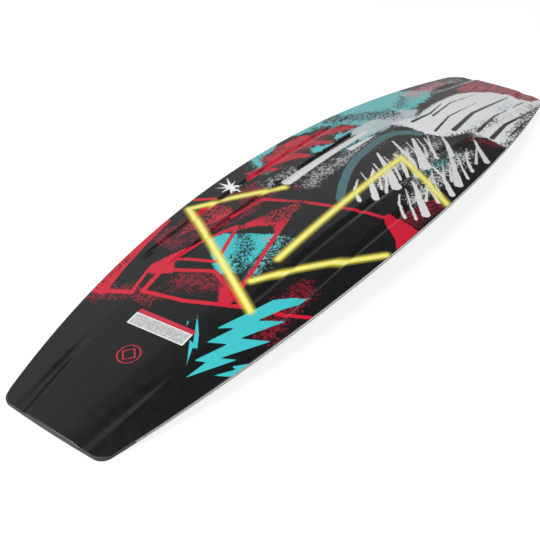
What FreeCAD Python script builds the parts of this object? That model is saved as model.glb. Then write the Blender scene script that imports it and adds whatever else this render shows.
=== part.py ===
import FreeCAD, Part
import os

os.makedirs("parts", exist_ok=True)

# Wakeboard, lying deck down on its two tips with the moulded base facing up.
# Millimetres, +Z up, length along X (nose at +X), toe-side rail at +Y.
# The lowest point, the two tip edges of the deck, stands on Z = 0.

# Overall sizes of a 139 cm twin-tip board
LENGTH = 1390.0
MID_WIDTH = 428.0
TIP_WIDTH = 234.0
TIP_BOW = 2.5
CORNER_R = 25.0
ROCKER = 52.0
ROCKER_POWER = 1.95
OUTLINE_QUARTIC = 0.08

# Thickness of the edge at the middle and at the tips, and how much prouder
# the centre of the base stands than its edges
RAIL_MID = 7.0
RAIL_TIP = 4.6
CROWN_MID = 11.5
CROWN_TIP = 6.5
DECK_CROWN = 1.5

# Two grooves each side of the middle of the base. Each has a gentle inner
# slope, a low line, and a steep step back up on the rail's side. The band
# between the two is flatter than the flank beyond them.
INNER_GROOVE_Y = 98.5
OUTER_GROOVE_Y = 163.0
GROOVE_SLOPE = 13.5
GROOVE_STEP = 3.0
INNER_GROOVE_DEPTH = 3.6
OUTER_GROOVE_DEPTH = 3.0
BAND_RISE = 2.2
INNER_GROOVE_END = 335.0
OUTER_GROOVE_END = 345.0
GROOVE_FADE = 70.0

# One flared channel each side of each tip, open at the end edge
CHANNEL_START = 470.0
CHANNEL_DEPTH = 3.6
CHANNEL_IN_Y = 54.0
CHANNEL_LOW_Y = 67.0
CHANNEL_OUT_Y = 89.0

# Laminated layers, and the resin bond line left between any two of them
SHEET = 0.7
LAMINATE = 0.7
BOND = 0.15
SIDEWALL = 10.0
TIP_SPACER = 60.0

# Stringers run beside the core's centre block
STRINGER_Y = 44.0
STRINGER = 4.0

# Boot inserts, five to a row and two rows to a foot. The plain bore stands
# for the M6 thread.
STANCE = 560.0
ROW_SPACING = 152.4
INSERT_PITCH = 25.4
INSERTS = 5
INSERT_R = 5.5
INSERT_BORE_R = 3.1
INSERT_LENGTH = 9.0
FLANGE_R = 7.5
FLANGE = 1.2
INSERT_CLEARANCE = 0.15
INSERT_SINK = 0.3
INSERT_END = 1.0
FLANGE_GAP = 0.45
PLATE_LENGTH = 150.0
PLATE_WIDTH = 34.0
PLATE_CLEARANCE = 0.15
PLATE = 6.0

# Plain adhesive decal on the base near the tail
DECAL_X = -445.5
DECAL_Y = -4.5
DECAL_LENGTH = 28.5
DECAL_WIDTH = 122.0
DECAL_TURN = 4.3
DECAL = 0.12
DECAL_BOND = 0.05

HALF = LENGTH / 2.0
LIFT = ROCKER + RAIL_TIP
OVER = 5.0


def blend(t):
    """Smooth step from 0 to 1."""
    t = max(0.0, min(1.0, t))
    return t * t * (3.0 - 2.0 * t)


def half_width(x):
    s = min(1.0, abs(x) / HALF)
    bulge = (1.0 - OUTLINE_QUARTIC) * s ** 2 + OUTLINE_QUARTIC * s ** 4
    return MID_WIDTH / 2.0 - (MID_WIDTH - TIP_WIDTH) / 2.0 * bulge


def edge_height(x):
    """Height of the base at the rails."""
    return LIFT - ROCKER * (abs(x) / HALF) ** ROCKER_POWER


def rail_thickness(x):
    s = abs(x) / HALF
    return RAIL_MID - (RAIL_MID - RAIL_TIP) * s ** 2


def base_section(x):
    """Half of the base section from the centre to past the rail, as (y, height) pairs."""
    a = abs(x)
    s = a / HALF
    w = half_width(x)
    crown = CROWN_MID - (CROWN_MID - CROWN_TIP) * s ** 2
    inner = blend((INNER_GROOVE_END - a) / GROOVE_FADE)
    outer = blend((OUTER_GROOVE_END - a) / GROOVE_FADE)
    reach = (a - CHANNEL_START) / (HALF - CHANNEL_START)
    flare = max(0.0, reach) ** 1.1
    tip = blend(reach * 1.6)
    y_low = INNER_GROOVE_Y + (CHANNEL_LOW_Y - INNER_GROOVE_Y) * flare
    y_in = INNER_GROOVE_Y - GROOVE_SLOPE
    y_in = y_in + (CHANNEL_IN_Y - y_in) * flare
    y_out = INNER_GROOVE_Y + GROOVE_STEP
    y_out = y_out + (CHANNEL_OUT_Y - y_out) * flare

    def surface(y):
        """Crowned centre, then a flank that slopes down to the rail."""
        if y < y_low:
            return crown * (1.0 - 0.07 * (y / y_low) ** 2)
        return crown * 0.93 * (w - y) / (w - y_low)

    depth_in = INNER_GROOVE_DEPTH * inner + CHANNEL_DEPTH * tip
    depth_out = OUTER_GROOVE_DEPTH * outer
    fall = y_out + 3.0
    low = min(OUTER_GROOVE_Y, fall + 0.72 * (w - 12.0 - fall))
    lip = low - min(GROOVE_SLOPE, 0.6 * (low - fall))
    step = low + GROOVE_STEP
    points = [(0.0, surface(0.0))]
    points.append((0.5 * y_in, surface(0.5 * y_in)))
    points.append((y_in, surface(y_in)))
    points.append((y_low, surface(y_low) - depth_in))
    points.append((y_out, surface(y_out)))
    points.append((lip, surface(lip) + BAND_RISE * outer))
    points.append((low, surface(low) - depth_out))
    points.append((step, surface(step)))
    points.append((w + OVER, surface(w + OVER)))
    return points


def deck_height(x, y):
    w = half_width(x)
    s = min(1.0, abs(x) / HALF)
    crown = DECK_CROWN * (1.0 - s ** 2) * (1.0 - (abs(y) / w) ** 2)
    return edge_height(x) - rail_thickness(x) - crown


def base_offset(down):
    """The base surface moved down by a distance."""
    def line(x):
        return [(y, edge_height(x) + z - down) for y, z in base_section(x)]
    return line


def deck_offset(up):
    """The deck surface moved up by a distance, at the same stations as the base."""
    def line(x):
        return [(y, deck_height(x, y) + up) for y, z in base_section(x)]
    return line


def spread(start, end, count):
    """Even marks from the start up to, but not including, the end."""
    return [start + (end - start) * i / count for i in range(count)]


def stations():
    """Where sections are taken: closest where grooves fade out and channels open."""
    fade = INNER_GROOVE_END - GROOVE_FADE
    marks = spread(0.0, fade, 3)
    marks += spread(fade, OUTER_GROOVE_END, 4)
    marks += spread(OUTER_GROOVE_END, CHANNEL_START, 3)
    marks += spread(CHANNEL_START, HALF + OVER, 14)
    marks.append(HALF + OVER)
    return [-m for m in reversed(marks[1:])] + marks


def layer(upper, lower):
    """A solid between two surfaces, running past the outline all round."""
    wires = []
    for x in stations():
        top = upper(x)
        low = lower(x)
        ring = [(y, z) for y, z in reversed(top)] + [(-y, z) for y, z in top[1:]]
        ring += [(-y, z) for y, z in reversed(low)] + [(y, z) for y, z in low[1:]]
        points = [FreeCAD.Vector(x, y, z) for y, z in ring]
        wires.append(Part.makePolygon(points + [points[0]]))
    return Part.makeLoft(wires, True, False)


def side_curve(x0, x1, inset, sign, steps):
    points = []
    for i in range(steps + 1):
        x = x0 + (x1 - x0) * i / steps
        points.append(FreeCAD.Vector(x, sign * (half_width(x) - inset), 0.0))
    curve = Part.BSplineCurve()
    curve.interpolate(points)
    return curve.toShape()


def outline(inset):
    """Plan outline: two curved sides, two gently bowed ends, four rounded corners."""
    tip = HALF - inset
    shoulder = tip - TIP_BOW
    edges = [
        side_curve(-shoulder, shoulder, inset, 1, 24),
        side_curve(-shoulder, shoulder, inset, -1, 24),
    ]
    for sign in (-1, 1):
        y = half_width(shoulder) - inset
        a = FreeCAD.Vector(sign * shoulder, y, 0.0)
        b = FreeCAD.Vector(sign * tip, 0.0, 0.0)
        c = FreeCAD.Vector(sign * shoulder, -y, 0.0)
        edges.append(Part.Arc(a, b, c).toShape())
    return Part.Wire(Part.__sortEdges__(edges))


def prism(inset):
    """Upright prism of the outline, its four corners rounded."""
    solid = Part.Face(outline(inset)).extrude(FreeCAD.Vector(0, 0, 200.0))
    corners = []
    for edge in solid.Edges:
        a = edge.Vertexes[0].Point
        b = edge.Vertexes[-1].Point
        upright = abs(a.x - b.x) < 0.01 and abs(a.y - b.y) < 0.01
        if upright and abs(a.z - b.z) > 100.0:
            corners.append(edge)
    solid = solid.makeFillet(max(3.0, CORNER_R - inset), corners)
    solid.translate(FreeCAD.Vector(0, 0, -60.0))
    return solid


def slab(x0, x1, y0, y1, z0=-100.0, z1=200.0):
    return Part.makeBox(x1 - x0, y1 - y0, z1 - z0, FreeCAD.Vector(x0, y0, z0))


def post(x, y, r, z0, z1):
    return Part.makeCylinder(r, z1 - z0, FreeCAD.Vector(x, y, z0))


def save(name, shape):
    solids = shape.Solids
    if len(solids) == 1:
        shape = solids[0]
    else:
        shape = Part.makeCompound(solids)
    shape.exportStep("parts/" + name + ".step")


# Where each layer starts, counted from the surface it lies under
SHEET_IN = SHEET
LAMINATE_TOP = SHEET + BOND
LAMINATE_IN = SHEET + BOND + LAMINATE
CORE_TOP = LAMINATE_IN + BOND

whole = prism(0.0)

# Boot inserts: where each one stands and how high the deck is there
feet = {}
for foot, side in (("rear", -1), ("front", 1)):
    for rail, across in (("heel", -1), ("toe", 1)):
        places = []
        for i in range(INSERTS):
            x = side * STANCE / 2.0 + (i - (INSERTS - 1) / 2.0) * INSERT_PITCH
            y = across * ROW_SPACING / 2.0
            places.append((x, y, deck_height(x, y)))
        feet[foot + "_" + rail] = places

# Every layer of the deck side is drilled for the inserts
holes = []
for name, places in feet.items():
    for x, y, z in places:
        top = z + INSERT_LENGTH + INSERT_CLEARANCE
        holes.append(post(x, y, INSERT_R + INSERT_CLEARANCE, -10.0, top))
        rim = z + INSERT_SINK + FLANGE + FLANGE_GAP
        holes.append(post(x, y, FLANGE_R + INSERT_CLEARANCE, -10.0, rim))
drilling = Part.makeCompound(holes)

# Base sheet and the laminate under it
sheet = layer(base_offset(0.0), base_offset(SHEET_IN)).common(whole)
save("base_sheet", sheet)
laminate = layer(base_offset(LAMINATE_TOP), base_offset(LAMINATE_IN)).common(whole)
save("base_laminate", laminate)

# Deck sheet and its laminate, both drilled
sheet = layer(deck_offset(SHEET_IN), deck_offset(0.0)).common(whole)
save("deck_sheet", sheet.cut(drilling))
laminate = layer(deck_offset(LAMINATE_IN), deck_offset(LAMINATE_TOP)).common(whole)
save("deck_laminate", laminate.cut(drilling))

# Everything between the two laminates
middle = layer(base_offset(CORE_TOP), deck_offset(CORE_TOP))
body = middle.common(prism(SIDEWALL + BOND))
ring = middle.common(whole.cut(prism(SIDEWALL)))

# Two long sidewalls and two tip spacers make the rim
joint = HALF - TIP_SPACER
save("sidewall_toe", ring.common(slab(-joint, joint, 0.0, 300.0)))
save("sidewall_heel", ring.common(slab(-joint, joint, -300.0, 0.0)))
save("nose_spacer", ring.common(slab(joint + BOND, HALF + 50.0, -300.0, 300.0)))
save("tail_spacer", ring.common(slab(-HALF - 50.0, -joint - BOND, -300.0, 300.0)))

# Insert reinforcement plates, let into the deck side of the core
pockets = []
for name, places in feet.items():
    x, y, z = places[(INSERTS - 1) // 2]
    x0 = x - PLATE_LENGTH / 2.0
    y0 = y - PLATE_WIDTH / 2.0
    blank = slab(x0, x0 + PLATE_LENGTH, y0, y0 + PLATE_WIDTH)
    plate = layer(deck_offset(CORE_TOP + PLATE), deck_offset(CORE_TOP)).common(blank)
    save("insert_plate_" + name, plate.cut(drilling))
    c = PLATE_CLEARANCE
    wide = slab(x0 - c, x0 + PLATE_LENGTH + c, y0 - c, y0 + PLATE_WIDTH + c)
    pockets.append(layer(deck_offset(CORE_TOP + PLATE + c), deck_offset(-5.0)).common(wide))

# Core: a centre block and two flank blocks with a stringer between each pair
for pocket in pockets:
    body = body.cut(pocket)
body = body.cut(drilling)
inner = STRINGER_Y
outer = STRINGER_Y + STRINGER
save("core_centre", body.common(slab(-HALF, HALF, -inner, inner)))
save("stringer_toe_side", body.common(slab(-HALF, HALF, inner + BOND, outer)))
save("stringer_heel_side", body.common(slab(-HALF, HALF, -outer, -inner - BOND)))
save("core_toe_side", body.common(slab(-HALF, HALF, outer + BOND, 300.0)))
save("core_heel_side", body.common(slab(-HALF, HALF, -300.0, -outer - BOND)))

# The inserts themselves: a flanged brass barrel with an open bore
for name, places in feet.items():
    group = []
    for x, y, z in places:
        low = z + INSERT_SINK
        top = z + INSERT_LENGTH
        barrel = post(x, y, INSERT_R, low, top)
        flange = post(x, y, FLANGE_R, low, low + FLANGE)
        bore = post(x, y, INSERT_BORE_R, z - 1.0, top - INSERT_END)
        group.append(barrel.fuse(flange).removeSplitter().cut(bore))
    save("inserts_" + name, Part.makeCompound(group))

# Plain decal bonded to the base near the tail
blank = slab(
    DECAL_X - DECAL_LENGTH / 2.0,
    DECAL_X + DECAL_LENGTH / 2.0,
    DECAL_Y - DECAL_WIDTH / 2.0,
    DECAL_Y + DECAL_WIDTH / 2.0,
)
blank.rotate(FreeCAD.Vector(DECAL_X, DECAL_Y, 0), FreeCAD.Vector(0, 0, 1), DECAL_TURN)
decal = layer(base_offset(-DECAL_BOND - DECAL), base_offset(-DECAL_BOND)).common(blank)
save("decal", decal)
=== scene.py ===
import math

import bmesh
import bpy
import numpy as np
from mathutils import Matrix, Vector


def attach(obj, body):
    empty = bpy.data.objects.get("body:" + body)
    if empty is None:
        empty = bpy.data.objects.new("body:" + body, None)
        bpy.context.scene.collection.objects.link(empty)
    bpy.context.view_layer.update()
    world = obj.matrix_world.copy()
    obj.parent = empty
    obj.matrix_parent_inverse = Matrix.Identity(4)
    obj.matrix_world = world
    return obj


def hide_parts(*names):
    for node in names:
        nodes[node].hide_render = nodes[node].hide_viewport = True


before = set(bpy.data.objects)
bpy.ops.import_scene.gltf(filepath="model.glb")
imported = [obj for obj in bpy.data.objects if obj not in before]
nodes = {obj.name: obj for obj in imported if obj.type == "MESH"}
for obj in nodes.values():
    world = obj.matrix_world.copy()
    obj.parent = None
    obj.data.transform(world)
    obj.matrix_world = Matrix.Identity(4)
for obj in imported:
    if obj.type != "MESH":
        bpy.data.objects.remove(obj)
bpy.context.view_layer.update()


# ---------------------------------------------------------------------------
# Rails. Pale ABS strips along both sides and dark ones round both tips, bonded
# between the two dark-tinted glass laminates, whose cut edges show beside them.
# ---------------------------------------------------------------------------
def tint(red, green, blue):
    """A display colour, each part from 0 to 255, as the linear colour that shaders take."""
    parts = []
    for value in (red, green, blue):
        value = value / 255.0
        if value <= 0.04045:
            parts.append(value / 12.92)
        else:
            parts.append(((value + 0.055) / 1.055) ** 2.4)
    return (parts[0], parts[1], parts[2], 1.0)


class Paint:
    """One node material, with short names for the nodes that the board's finishes share."""

    def __init__(self, name):
        self.material = bpy.data.materials.new(name)
        self.material.use_nodes = True
        self.tree = self.material.node_tree
        self.shader = self.tree.nodes["Principled BSDF"]
        place = self.tree.nodes.new("ShaderNodeTexCoord")
        self.place = place.outputs["Object"]

    def link(self, value, socket):
        if isinstance(value, bpy.types.NodeSocket):
            self.tree.links.new(value, socket)
        else:
            socket.default_value = value

    def sum(self, operation, first, second=0.5, third=0.5):
        node = self.tree.nodes.new("ShaderNodeMath")
        node.operation = operation
        self.link(first, node.inputs[0])
        self.link(second, node.inputs[1])
        self.link(third, node.inputs[2])
        return node.outputs[0]

    def stretch(self, scale, turn=0.0):
        node = self.tree.nodes.new("ShaderNodeMapping")
        self.link(self.place, node.inputs["Vector"])
        node.inputs["Rotation"].default_value = (0.0, 0.0, turn)
        node.inputs["Scale"].default_value = scale
        return node.outputs["Vector"]

    def noise(self, scale, detail=2.0, rough=0.5, vector=None):
        node = self.tree.nodes.new("ShaderNodeTexNoise")
        self.link(self.place if vector is None else vector, node.inputs["Vector"])
        node.inputs["Scale"].default_value = scale
        node.inputs["Detail"].default_value = detail
        node.inputs["Roughness"].default_value = rough
        return node.outputs["Fac"]

    def ramp(self, value, low, high, start=0.0, end=1.0):
        node = self.tree.nodes.new("ShaderNodeMapRange")
        node.interpolation_type = "SMOOTHSTEP"
        self.link(value, node.inputs["Value"])
        self.link(low, node.inputs["From Min"])
        self.link(high, node.inputs["From Max"])
        node.inputs["To Min"].default_value = start
        node.inputs["To Max"].default_value = end
        return node.outputs["Result"]

    def mix(self, amount, under, over):
        node = self.tree.nodes.new("ShaderNodeMix")
        node.data_type = "RGBA"
        self.link(amount, node.inputs["Factor"])
        self.link(under, node.inputs["A"])
        self.link(over, node.inputs["B"])
        return node.outputs["Result"]

    def bump(self, height, distance):
        node = self.tree.nodes.new("ShaderNodeBump")
        node.inputs["Distance"].default_value = distance
        node.inputs["Strength"].default_value = 1.0
        self.link(height, node.inputs["Height"])
        return node.outputs["Normal"]

    def set(self, **values):
        for name, value in values.items():
            self.link(value, self.shader.inputs[name.replace("_", " ")])


def finish(name, paint):
    """Gives a CAD node its finish."""
    for slot in nodes[name].material_slots:
        slot.material = paint.material


rail = Paint("rail_abs")
wear = rail.noise(260.0, 4.0, 0.6)
rail.set(Base_Color=rail.mix(wear, tint(196, 190, 188), tint(226, 221, 219)))
rail.set(Roughness=rail.ramp(wear, 0.3, 0.7, 0.38, 0.55))
rail.set(Normal=rail.bump(rail.noise(900.0, 2.0), 0.00005))
for name in ("sidewall_toe", "sidewall_heel"):
    finish(name, rail)

tip = Paint("tip_abs")
tip.set(Base_Color=tip.mix(tip.noise(260.0, 4.0, 0.6), tint(34, 34, 36), tint(52, 52, 54)))
tip.set(Roughness=0.45)
for name in ("nose_spacer", "tail_spacer"):
    finish(name, tip)

glass = Paint("glass_laminate")
weave = glass.noise(700.0, 3.0, 0.6, glass.stretch((1.0, 0.08, 1.0)))
glass.set(Base_Color=glass.mix(weave, tint(40, 40, 42), tint(66, 66, 68)))
glass.set(Roughness=0.42)
for name in ("base_laminate", "deck_laminate"):
    finish(name, glass)


# ---------------------------------------------------------------------------
# Base sheet. Moulded plastic skin, printed on its inner face and glossy
# outside: crowned centre, two grooves each side, a flared channel at each
# corner of both tips. It covers the whole base and is bonded to the laminate.
# ---------------------------------------------------------------------------
HALF = 695.0
MID_HALF_WIDTH = 214.0
TAPER = 97.0
TIP_BOW = 2.5
CORNER_R = 25.0
ROCKER = 52.0
ROCKER_POWER = 1.95
LIFT = 56.6
SHEET = 0.7
CROWN_MID = 11.5
CROWN_LOSS = 5.0
INNER_GROOVE_Y = 98.5
OUTER_GROOVE_Y = 163.0
GROOVE_SLOPE = 13.5
GROOVE_STEP = 3.0
INNER_GROOVE_DEPTH = 3.6
OUTER_GROOVE_DEPTH = 3.0
BAND_RISE = 2.2
INNER_GROOVE_END = 335.0
OUTER_GROOVE_END = 345.0
GROOVE_FADE = 70.0
CHANNEL_START = 470.0
CHANNEL_DEPTH = 3.6
CHANNEL_IN_Y = 54.0
CHANNEL_LOW_Y = 67.0
CHANNEL_OUT_Y = 89.0
PAST_RAIL = 5.0
CREASE_SOFTNESS = 1.1


def blend(t):
    t = max(0.0, min(1.0, t))
    return t * t * (3.0 - 2.0 * t)


def half_width(x):
    s = min(1.0, abs(x) / HALF)
    return MID_HALF_WIDTH - TAPER * (0.92 * s ** 2 + 0.08 * s ** 4)


def rounded_width(x):
    """Half width with the tip corners rounded off."""
    left = HALF - TIP_BOW - abs(x)
    if left >= CORNER_R:
        return half_width(x)
    left = max(0.0, left)
    return half_width(x) - CORNER_R + math.sqrt(CORNER_R ** 2 - (CORNER_R - left) ** 2)


def edge_height(x):
    return LIFT - ROCKER * (abs(x) / HALF) ** ROCKER_POWER


def base_section(x):
    """Creases of the base from the centre line to past the rail, and their heights."""
    a = abs(x)
    s = a / HALF
    w = half_width(x)
    crown = CROWN_MID - CROWN_LOSS * s ** 2
    inner = blend((INNER_GROOVE_END - a) / GROOVE_FADE)
    outer = blend((OUTER_GROOVE_END - a) / GROOVE_FADE)
    reach = (a - CHANNEL_START) / (HALF - CHANNEL_START)
    flare = max(0.0, reach) ** 1.1
    tip = blend(reach * 1.6)
    y_low = INNER_GROOVE_Y + (CHANNEL_LOW_Y - INNER_GROOVE_Y) * flare
    y_in = INNER_GROOVE_Y - GROOVE_SLOPE
    y_in = y_in + (CHANNEL_IN_Y - y_in) * flare
    y_out = INNER_GROOVE_Y + GROOVE_STEP
    y_out = y_out + (CHANNEL_OUT_Y - y_out) * flare
    fall = y_out + 3.0
    low = min(OUTER_GROOVE_Y, fall + 0.72 * (w - 12.0 - fall))
    lip = low - min(GROOVE_SLOPE, 0.6 * (low - fall))

    def surface(y):
        if y < y_low:
            return crown * (1.0 - 0.07 * (y / y_low) ** 2)
        return crown * 0.93 * (w - y) / (w - y_low)

    ys = [0.0, 0.5 * y_in, y_in, y_low, y_out, lip, low, low + GROOVE_STEP, w + PAST_RAIL]
    zs = [surface(y) for y in ys]
    zs[3] -= INNER_GROOVE_DEPTH * inner + CHANNEL_DEPTH * tip
    zs[5] += BAND_RISE * outer
    zs[6] -= OUTER_GROOVE_DEPTH * outer
    return ys, zs, y_low


ACROSS = (14, 14, 5, 2, 16, 5, 2, 16)
ALONG = 534


def base_grid():
    """Rows of points across the base, closer together over each crease."""
    fine = np.arange(-8.0, 232.0, 0.5)
    reach = np.arange(-5.0, 5.5, 0.5)
    kernel = np.exp(-0.5 * (reach / CREASE_SOFTNESS) ** 2)
    kernel = kernel / kernel.sum()
    rows = []
    for i in range(ALONG + 1):
        x = -HALF + 2.0 * HALF * i / ALONG
        inside = min(abs(x), HALF - TIP_BOW)
        sign = 1.0 if x >= 0.0 else -1.0
        ys, zs, y_low = base_section(inside)
        w = half_width(inside)
        real = rounded_width(inside)
        smooth = np.convolve(np.interp(np.abs(fine), ys, zs), kernel, mode="same")
        marks = ys[:-1] + [w]
        side = []
        for first, last, count in zip(marks[:-1], marks[1:], ACROSS):
            for k in range(count):
                side.append(first + (last - first) * k / count)
        side.append(w)
        side = np.array(side)
        outside = side > y_low
        pulled = y_low + (side - y_low) * (real - y_low) / (w - y_low)
        side[outside] = pulled[outside]
        height = np.interp(side, fine, smooth)
        if abs(x) < HALF - TIP_BOW:
            at = np.full(side.shape, x)
        else:
            bow = TIP_BOW * (1.0 - (side / real) ** 2)
            at = sign * (HALF - TIP_BOW + bow * (abs(x) - HALF + TIP_BOW) / TIP_BOW)
        rise = LIFT - ROCKER * (np.abs(at) / HALF) ** ROCKER_POWER
        row = np.stack([at, side, rise + height], axis=1)
        mirror = row[:0:-1] * np.array([1.0, -1.0, 1.0])
        rows.append(np.concatenate([mirror, row]))
    return np.array(rows)


grid = base_grid()
rows, columns = grid.shape[:2]
bm = bmesh.new()
bmesh.ops.create_grid(bm, x_segments=columns - 1, y_segments=rows - 1, size=1.0)
bm.verts.ensure_lookup_table()
flat = grid.reshape(-1, 3) * 0.001
order = sorted(bm.verts, key=lambda v: (round(v.co.y, 6), round(v.co.x, 6)))
for vert, place in zip(order, flat):
    vert.co = place
bmesh.ops.recalc_face_normals(bm, faces=bm.faces)
if sum(face.normal.z for face in bm.faces) < 0.0:
    bmesh.ops.reverse_faces(bm, faces=bm.faces)
rim = [edge for edge in bm.edges if edge.is_boundary]
skirt = bmesh.ops.extrude_edge_only(bm, edges=rim)
lower = [item for item in skirt["geom"] if isinstance(item, bmesh.types.BMVert)]
bmesh.ops.translate(bm, verts=lower, vec=(0.0, 0.0, -SHEET * 0.001))
for face in bm.faces:
    face.smooth = True
for item in skirt["geom"]:
    if isinstance(item, bmesh.types.BMFace):
        item.smooth = False
        item.material_index = 1
mesh = bpy.data.meshes.new("base_skin")
bm.to_mesh(mesh)
bm.free()
base = bpy.data.objects.new("base_skin", mesh)
bpy.context.scene.collection.objects.link(base)

spots = np.empty(len(mesh.vertices) * 3)
mesh.vertices.foreach_get("co", spots)
spots = spots.reshape(-1, 3)[:, :2] * 1000.0


def to_line(a, b):
    """Distance of every point of the base from a line, and how far along it."""
    run = np.array(b, float) - np.array(a, float)
    away = spots - np.array(a, float)
    along = np.clip(away @ run / (run @ run), 0.0, 1.0)
    return np.hypot(*(away - along[:, None] * run).T), along


def area(*corners):
    """Distance from an outline in millimetres, negative inside it."""
    nearest = np.full(len(spots), 1e6)
    inside = np.zeros(len(spots), bool)
    px, py = spots.T
    for a, b in zip(corners, corners[1:] + corners[:1]):
        nearest = np.minimum(nearest, to_line(a, b)[0])
        if a[1] != b[1]:
            crosses = (a[1] > py) != (b[1] > py)
            at = a[0] + (py - a[1]) * (b[0] - a[0]) / (b[1] - a[1])
            inside ^= crosses & (px < at)
    return np.where(inside, -nearest, nearest)


def stroke(width, *points, end=None):
    """Distance from a pen line of this width, which may taper to another width."""
    end = width if end is None else end
    lengths = [math.dist(a, b) for a, b in zip(points, points[1:])]
    total = sum(lengths)
    done = 0.0
    nearest = np.full(len(spots), 1e6)
    for a, b, length in zip(points, points[1:], lengths):
        away, along = to_line(a, b)
        part = (done + along * length) / total
        nearest = np.minimum(nearest, away - 0.5 * (width + (end - width) * part))
        done += length
    return nearest


def print_layer(name, *shapes):
    """Keeps the shapes of one ink as a distance in millimetres on the base."""
    values = shapes[0]
    for shape in shapes[1:]:
        values = np.minimum(values, shape)
    layer = mesh.attributes.new(name, "FLOAT", "POINT")
    layer.data.foreach_set("value", values.astype(np.float32))


# Teal lightning zigzags near the tail
print_layer(
    "bolts",
    area((-483, -102), (-437, -67), (-441, -78), (-385, -37), (-420, -72), (-446, -92), (-449, -84)),
    area((-420, -42), (-404, -32), (-408, -38)),
    area(
        (-503, -117), (-459, -123), (-469, -105), (-409, -126), (-428, -95), (-375, -113),
        (-394, -88), (-345, -105), (-287, -123), (-243, -169), (-268, -162), (-341, -131),
        (-311, -171), (-388, -134), (-362, -179), (-440, -135), (-425, -160),
    ),
    area((-473, -150), (-442, -171), (-441, -162), (-418, -182), (-450, -186)),
)

# Red outlines of three angular panels, and the red corners at the rails
print_layer(
    "red_lines",
    stroke(11, (-426, 166), (-404, 104)),
    stroke(7, (-404, 104), (-350, 120), (-327, 125)),
    stroke(9, (-392, 88), (-330, 98), (-284, 12), (-330, -92), (-372, 6), (-392, 88)),
    stroke(8, (-296, 104), (-226, 92), (-160, 66), (-262, 28), (-296, 104)),
    stroke(8, (-322, -66), (-240, -42), (-140, -12), (-60, 10)),
    stroke(9, (-140, 97), (-66, 86), (-28, 8), (6, -92), (15, -145)),
    stroke(8, (-310, -146), (-299, -165), (-280, -200)),
    stroke(9, (-127, 206), (-106, 171)),
    area((5, -152), (17, -141), (30, -143), (32, -165), (22, -225), (-62, -225), (-25, -195),
         (-5, -167)),
    area((-437, 195), (-432, 152), (-412, 151), (-408, 154), (-370, 165), (-300, 181),
         (-205, 198), (-200, 225)),
)

def ring(width, centre, radius):
    """Distance from a ring drawn with a pen of this width."""
    away = np.hypot(spots[:, 0] - centre[0], spots[:, 1] - centre[1])
    return np.abs(away - radius) - 0.5 * width


# Plain red ring badge with a rhombus in it, and the bar beside the decal
print_layer(
    "badge",
    ring(2.6, (-516, -2), 20.0),
    stroke(2.6, (-530, -2), (-516, 12), (-502, -2), (-516, -16), (-530, -2)),
    area((-435, 57), (-426, 57), (-417, -65), (-427, -65)),
)

# Red fields with broken edges
print_layer(
    "red_fields",
    area((-350, 118), (-327, 128), (-262, 104), (-298, 97), (-328, 75), (-345, 97)),
    area((-345, -50), (-312, -22), (-300, -48), (-240, -45), (-250, -40), (-320, -67), (-345, -70)),
    area((-190, 75), (-160, 62), (-80, 38), (-40, 24), (-38, 8), (-100, 2), (-145, -13),
         (-122, 10), (-140, 35), (-160, 50)),
    area((-248, 145), (-195, 158), (-150, 172), (-118, 168), (-125, 150), (-118, 118),
         (-130, 107), (-165, 110), (-215, 133)),
)

# Teal field between the panels
print_layer(
    "teal_field",
    area((-205, 80), (-190, 72), (-178, 50), (-165, 30), (-155, 10), (-143, -9), (-180, -18),
         (-230, -28), (-262, -31), (-288, 4), (-270, 30), (-240, 62), (-217, 85)),
)

# Yellow neon bars
print_layer(
    "bars",
    stroke(11, (-330, -108), (-158, 194)),
    stroke(11, (-158, 194), (-50, 107), (-8, 75)),
    stroke(11, (-270, -60), (-204, -104), (-72, -208)),
    stroke(11, (-197, -61), (0, -53), (222, -45)),
    stroke(11, (220, -45), (130, -212)),
)

# Red feathers along the toe-side rail
print_layer(
    "feathers",
    area((-12, 172), (60, 171), (180, 171), (250, 171), (262, 155), (285, 125), (283, 113),
         (262, 118), (240, 128), (205, 147), (172, 158), (192, 128), (201, 112), (185, 108),
         (175, 122), (150, 140), (103, 158), (113, 145), (125, 120), (123, 107), (111, 110),
         (100, 127), (60, 145), (35, 151), (52, 124), (28, 137), (0, 152), (-22, 162)),
    area((-8, 185), (18, 176), (45, 173), (0, 170)),
    area((53, 190), (75, 195), (95, 190), (112, 203), (150, 195), (186, 192), (200, 180),
         (196, 172), (62, 171)),
)

# Teal and pale fields of the nose half
print_layer(
    "teal_nose",
    area((26, 165), (36, 185), (50, 215), (135, 215), (112, 199), (60, 195), (52, 180), (38, 165)),
    area((180, 215), (190, 196), (215, 186), (255, 172), (285, 125), (300, 100), (350, 80),
         (400, 66), (450, 70), (520, 76), (560, 100), (520, 150), (480, 215)),
    area((128, 108), (150, 132), (172, 118), (190, 104)),
    area((205, 108), (225, 128), (252, 112), (262, 104)),
)
print_layer(
    "pale_nose",
    area((400, -240), (404, -190), (412, -130), (404, -92), (356, -70), (340, -24), (348, 20),
         (338, 58), (372, 50), (398, 34), (440, 42), (500, 46), (575, 40), (604, 24), (640, -12),
         (655, -50), (655, -95), (690, -112), (700, -240)),
)
print_layer(
    "haze",
    area((232, 64), (262, 112), (330, 108), (400, 90), (440, 62), (398, 30), (338, 54)),
)
print_layer(
    "crescent",
    area((584, 36), (604, 56), (650, 66), (700, 66), (705, -112), (660, -108), (652, -90),
         (652, -50), (640, -10), (612, 18)),
)

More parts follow.
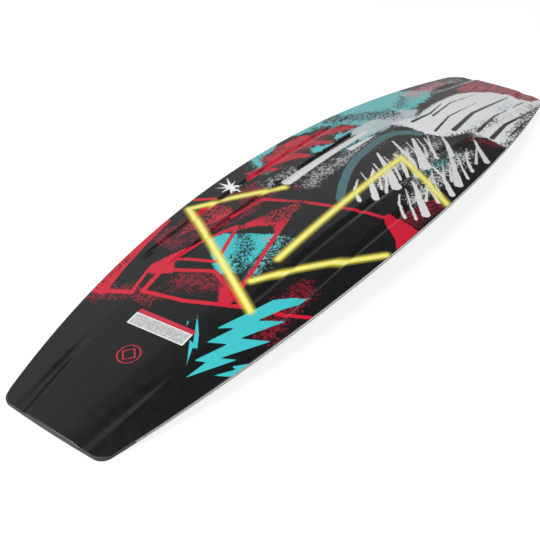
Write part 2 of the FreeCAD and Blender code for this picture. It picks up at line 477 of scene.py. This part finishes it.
# White brush strokes, all leaning the same way over the black, with a teal
# sweep above them
print_layer(
    "arc",
    stroke(17, (18, -40), (62, -14), (110, 9), (160, 25), (220, 33), (270, 36), (303, 28),
           (324, 8), (334, -14), end=20),
)
upper_fans = [
    stroke(6, (66 + 27 * k, -92 + 7 * (k % 3)), (96 + 27 * k, -54 - 5 * (k % 2)),
           (122 + 27 * k, -14 - 9 * (k % 3)), end=2)
    for k in range(9)
]
lower_fans = [
    stroke(6, (52 + 31 * k, -190 + 9 * (k % 3)), (90 + 31 * k, -150 + 6 * (k % 2)),
           (122 + 31 * k, -120 - 6 * (k % 3)), end=2)
    for k in range(9)
]
print_layer(
    "brush",
    *upper_fans,
    *lower_fans,
    stroke(24, (12, 84), (120, 84), (270, 80), end=13),
    stroke(13, (190, 60), (262, 56), end=5),
    stroke(9, (34, -74), (60, -44), (96, -26), end=3),
    stroke(15, (62, -92), (98, -56), (142, -30), end=5),
    stroke(7, (92, -96), (128, -72), (166, -14), end=3),
    stroke(20, (116, -104), (158, -58), (206, 4), end=5),
    stroke(8, (166, -96), (204, -60), (222, -24), end=3),
    stroke(14, (176, -112), (222, -70), (270, 10), end=4),
    stroke(24, (218, -104), (262, -60), (304, -18), end=6),
    stroke(8, (262, -104), (300, -62), (322, -34), end=3),
    stroke(13, (292, -120), (330, -84), (352, -58), end=4),
    stroke(7, (42, -172), (70, -140), (98, -122), end=3),
    stroke(17, (76, -196), (124, -148), (152, -116), end=5),
    stroke(8, (126, -192), (160, -150), (196, -130), end=3),
    stroke(12, (166, -198), (208, -152), (226, -116), end=4),
    stroke(18, (206, -188), (262, -142), (288, -118), end=5),
    stroke(8, (268, -182), (300, -150), (330, -136), end=3),
    stroke(13, (322, -184), (356, -146), (384, -118), end=4),
)

# Long dark sweeps down the pale field
print_layer(
    "dabs",
    stroke(7, (366, -34), (450, -16), (560, -22), end=2),
    stroke(13, (396, -62), (500, -46), (636, -58), end=4),
    stroke(6, (430, 12), (520, 22), (604, 6), end=2),
    stroke(9, (376, 30), (440, 24), (500, 34), end=3),
    stroke(8, (424, -104), (520, -90), (640, -96), end=3),
    stroke(12, (420, -140), (500, -128), (600, -132), end=4),
    stroke(6, (470, -160), (540, -152), (620, -150), end=2),
)

# White starburst at the toe-side rail
print_layer(
    "burst",
    stroke(12, (-58, 172), (-66, 138), end=1),
    stroke(10, (-58, 172), (-56, 208), end=1),
    stroke(8, (-58, 172), (-32, 206), end=1),
    stroke(8, (-58, 172), (-84, 176), end=1),
    stroke(7, (-58, 172), (-36, 158), end=1),
    stroke(6, (-58, 172), (-80, 152), end=1),
    stroke(6, (-58, 172), (-34, 182), end=1),
    stroke(7, (-58, 172), (-76, 200), end=1),
)

# Where loose spray lies thickest, one layer for each colour
print_layer(
    "dust_red",
    stroke(70, (-350, -165), (-290, -150), (-235, -150)),
    stroke(60, (-440, 165), (-405, 120), (-400, 60)),
    stroke(110, (-240, 150), (-150, 120), (-60, 110)),
    stroke(80, (-330, 40), (-300, -20)),
    stroke(44, (10, 52), (70, 40)),
    stroke(70, (15, -180), (115, -190)),
    stroke(50, (385, -110), (410, -180)),
    stroke(60, (60, 150), (250, 145)),
)
print_layer(
    "dust_grey",
    stroke(60, (30, 45), (130, 48), (260, 40)),
    stroke(50, (-20, 110), (60, 100)),
    stroke(50, (150, -120), (330, -60)),
    stroke(40, (300, 60), (360, 40)),
    stroke(54, (470, 112), (560, 100), (660, 90)),
)
print_layer(
    "dust_black",
    stroke(60, (-255, -20), (-200, 10), (-170, 45)),
    stroke(70, (-230, 145), (-150, 140), (-110, 120)),
    stroke(80, (-100, 30), (-50, 14)),
    stroke(80, (290, 195), (330, 140), (380, 95)),
    stroke(60, (230, 180), (270, 150)),
    stroke(40, (60, 195), (120, 190)),
    stroke(70, (420, -190), (560, -150), (640, -140)),
    stroke(30, (-420, 175), (-330, 185)),
    stroke(50, (430, 100), (480, 120)),
    stroke(46, (590, 95), (650, 70)),
    stroke(40, (350, -70), (420, -96), (520, -104)),
)
print_layer(
    "dust_white",
    stroke(60, (110, -70), (250, -40)),
    stroke(50, (100, -150), (330, -140)),
    stroke(40, (340, 60), (410, 80)),
    stroke(40, (400, -110), (640, -112)),
)
print_layer(
    "dust_teal",
    stroke(60, (180, 60), (265, 70)),
    stroke(40, (420, -90), (480, -100)),
    stroke(50, (20, 150), (40, 190)),
    stroke(60, (-250, -45), (-150, -30)),
    stroke(34, (560, -78), (630, -84)),
    stroke(60, (200, -112), (300, -136)),
)
print_layer(
    "dust_pink",
    stroke(60, (500, 120), (610, 110)),
    stroke(26, (-170, 2), (-155, -8)),
)

skin = Paint("base_print")


def ink(name):
    node = skin.tree.nodes.new("ShaderNodeAttribute")
    node.attribute_name = name
    return node.outputs["Fac"]


spray = skin.noise(330.0, 5.0, 0.75)
coarse = skin.noise(48.0, 4.0, 0.6)
drops = skin.noise(190.0, 4.0, 0.8)
streak = skin.noise(60.0, 4.0, 0.65, skin.stretch((1.0, 3.2, 1.0), -0.35))


def near(distance, edge=0.6):
    """1 inside an ink's outline, 0 outside."""
    return skin.ramp(distance, -edge, edge, 1.0, 0.0)


def rough(distance, amount, texture=None):
    """The outline broken up by this many millimetres of spray."""
    texture = spray if texture is None else texture
    push = skin.sum("MULTIPLY_ADD", texture, amount * 2.0, -amount)
    return skin.sum("ADD", distance, push)


def spatter(name, fullness):
    """Loose drops that crowd together towards the middle of a layer of spray."""
    crowd = skin.ramp(rough(ink(name), 22.0, coarse), -30.0, 18.0, fullness, 0.0)
    return skin.ramp(skin.sum("ADD", drops, crowd), 0.70, 0.76)


RED = tint(202, 26, 52)
TEAL = tint(62, 190, 196)
hatch = skin.noise(90.0, 3.0, 0.7, skin.stretch((0.25, 2.6, 1.0), 0.3))
hatch = skin.mix(skin.ramp(hatch, 0.42, 0.56), tint(70, 30, 36), tint(196, 66, 80))
vane = skin.noise(70.0, 3.0, 0.6, skin.stretch((0.5, 3.0, 1.0), 0.5))
vane = skin.mix(skin.ramp(vane, 0.5, 0.62), RED, tint(120, 22, 40))
bar = ink("bars")

# The inks from the lowest to the topmost: where each one covers, and its colour
inks = [
    (spatter("dust_red", 0.24), tint(134, 24, 46)),
    (near(rough(ink("teal_nose"), 20.0, streak), 2.0), tint(98, 196, 198)),
    (near(rough(ink("haze"), 26.0, streak), 6.0), tint(190, 206, 208)),
    (near(rough(ink("pale_nose"), 18.0), 0.8), tint(240, 243, 244)),
    (near(rough(ink("crescent"), 14.0, streak), 0.8), hatch),
    (near(rough(ink("red_fields"), 14.0), 0.8), RED),
    (near(rough(ink("teal_field"), 12.0), 0.6), TEAL),
    (spatter("dust_teal", 0.22), tint(104, 190, 194)),
    (spatter("dust_grey", 0.24), tint(170, 174, 176)),
    (spatter("dust_white", 0.24), tint(214, 216, 216)),
    (spatter("dust_pink", 0.26), tint(222, 120, 140)),
    (near(rough(ink("red_lines"), 3.0)), RED),
    (near(skin.sum("SUBTRACT", ink("arc"), 2.0)), tint(16, 22, 24)),
    (near(rough(ink("arc"), 2.5)), tint(72, 110, 116)),
    (near(rough(ink("feathers"), 5.0)), vane),
    (spatter("dust_black", 0.26), tint(24, 25, 26)),
    (near(rough(ink("brush"), 4.0)), tint(222, 222, 220)),
    (near(rough(ink("dabs"), 4.0)), tint(58, 59, 60)),
    (near(rough(ink("burst"), 1.5)), tint(238, 240, 240)),
    (near(ink("bolts"), 0.5), TEAL),
    (near(ink("badge"), 0.5), tint(190, 44, 66)),
    (skin.ramp(bar, -1.0, 8.5, 0.55, 0.0), tint(226, 214, 90)),
    (near(bar, 0.9), tint(234, 226, 78)),
    (skin.ramp(bar, -5.4, -1.8, 0.9, 0.0), tint(246, 242, 186)),
]
colour = skin.mix(coarse, tint(13, 14, 15), tint(18, 19, 20))
for cover, over in inks:
    colour = skin.mix(cover, colour, over)
skin.set(Base_Color=colour)
skin.set(Roughness=skin.ramp(coarse, 0.3, 0.7, 0.22, 0.3))
skin.set(Coat_Weight=0.6, Coat_Roughness=0.08)
mesh.materials.append(skin.material)
mesh.materials.append(glass.material)
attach(base, "root")
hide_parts("base_sheet")


# ---------------------------------------------------------------------------
# Deck sheet and boot inserts. A satin black skin over the deck side, drilled
# for twenty flanged brass inserts that sit just below its surface.
# ---------------------------------------------------------------------------
deck = Paint("deck_print")
grain = deck.noise(520.0, 3.0, 0.6)
deck.set(Base_Color=deck.mix(deck.noise(7.0, 3.0), tint(30, 31, 33), tint(40, 41, 43)))
deck.set(Roughness=deck.ramp(grain, 0.3, 0.7, 0.36, 0.46))
deck.set(Normal=deck.bump(grain, 0.00006))
finish("deck_sheet", deck)

brass = Paint("insert_brass")
turned = brass.noise(900.0, 2.0, 0.5)
brass.set(Base_Color=tint(196, 164, 96), Metallic=1.0)
brass.set(Roughness=brass.ramp(turned, 0.3, 0.7, 0.22, 0.36))
for name in ("rear_heel", "rear_toe", "front_heel", "front_toe"):
    finish("inserts_" + name, brass)


# ---------------------------------------------------------------------------
# Decal. A white film with a plain grey mottled middle, stuck to the base near
# the tail.
# ---------------------------------------------------------------------------
film = Paint("decal_film")
parts = film.tree.nodes.new("ShaderNodeSeparateXYZ")
film.link(film.place, parts.inputs[0])
turn = math.radians(4.3)
east = film.sum("ADD", parts.outputs["X"], 0.4455)
north = film.sum("ADD", parts.outputs["Y"], 0.0045)
north_part = film.sum("MULTIPLY", north, math.sin(turn))
short = film.sum("MULTIPLY_ADD", east, math.cos(turn), north_part)
east_part = film.sum("MULTIPLY", east, -math.sin(turn))
long = film.sum("MULTIPLY_ADD", north, math.cos(turn), east_part)
inner = film.sum(
    "MULTIPLY",
    film.ramp(film.sum("ABSOLUTE", short, 0.0), 0.0115, 0.0122, 1.0, 0.0),
    film.ramp(film.sum("ABSOLUTE", long, 0.0), 0.0575, 0.0582, 1.0, 0.0),
)
mottle = film.mix(film.noise(240.0, 3.0, 0.7), tint(70, 70, 72), tint(240, 240, 242))
film.set(Base_Color=film.mix(inner, tint(222, 222, 222), mottle), Roughness=0.35)
finish("decal", film)


# ---------------------------------------------------------------------------
# Studio. Pale floor, broad soft lights and the camera.
# ---------------------------------------------------------------------------
scene = bpy.context.scene
bm = bmesh.new()
bmesh.ops.create_grid(bm, x_segments=1, y_segments=1, size=12.0)
floor_mesh = bpy.data.meshes.new("floor")
bm.to_mesh(floor_mesh)
bm.free()
floor = bpy.data.objects.new("floor", floor_mesh)
scene.collection.objects.link(floor)
ground = Paint("floor")
camera_sees = ground.tree.nodes.new("ShaderNodeLightPath").outputs["Is Camera Ray"]
ground.set(Base_Color=ground.mix(camera_sees, (0.85, 0.85, 0.85, 1.0), (0.3, 0.3, 0.3, 1.0)))
ground.set(Roughness=0.9, Specular_IOR_Level=0.0)
ground.set(Emission_Color=(1.0, 1.0, 1.0, 1.0))
ground.set(Emission_Strength=ground.sum("MULTIPLY", camera_sees, 0.78))
floor_mesh.materials.append(ground.material)


def lamp(name, place, target, size, watts):
    data = bpy.data.lights.new(name, "AREA")
    data.shape = "RECTANGLE"
    data.size, data.size_y = size
    data.energy = watts
    lamp_object = bpy.data.objects.new(name, data)
    scene.collection.objects.link(lamp_object)
    aim = Vector(target) - Vector(place)
    turn = aim.to_track_quat("-Z", "Y").to_matrix().to_4x4()
    lamp_object.matrix_world = Matrix.Translation(place) @ turn
    return lamp_object


lamp("key", (-2.3, 0.9, 2.6), (0.0, 0.0, 0.0), (2.4, 2.4), 120.0)
lamp("fill", (-0.3, -2.6, 2.6), (0.0, 0.0, 0.0), (2.4, 1.8), 70.0)
lamp("softbox", (1.6, 2.9, 2.0), (1.6, 2.9, 0.0), (6.4, 2.8), 16.0)
lamp("backdrop", (5.2, 2.6, 0.9), (0.0, 0.0, 0.9), (4.5, 1.8), 9.0)

world = bpy.data.worlds.new("studio")
scene.world = world
world.use_nodes = True
tree = world.node_tree
back = tree.nodes["Background"]
back.inputs["Color"].default_value = (1.0, 1.0, 1.0, 1.0)
path = tree.nodes.new("ShaderNodeLightPath")
level = tree.nodes.new("ShaderNodeMapRange")
level.inputs["To Min"].default_value = 0.07
level.inputs["To Max"].default_value = 1.0
tree.links.new(path.outputs["Is Camera Ray"], level.inputs["Value"])
tree.links.new(level.outputs["Result"], back.inputs["Strength"])

camera_data = bpy.data.cameras.new("camera")
camera_data.sensor_width = 36.0
camera_data.lens = 69.81
camera_data.clip_end = 50.0
camera = bpy.data.objects.new("camera", camera_data)
scene.collection.objects.link(camera)
camera.matrix_world = Matrix((
    (0.633428, 0.488954, -0.599744, -1.33271),
    (-0.771312, 0.33684, -0.540015, -1.06269),
    (-0.062025, 0.804651, 0.5905, 1.14797),
    (0.0, 0.0, 0.0, 1.0),
))
scene.camera = camera
scene.view_settings.view_transform = "Standard"
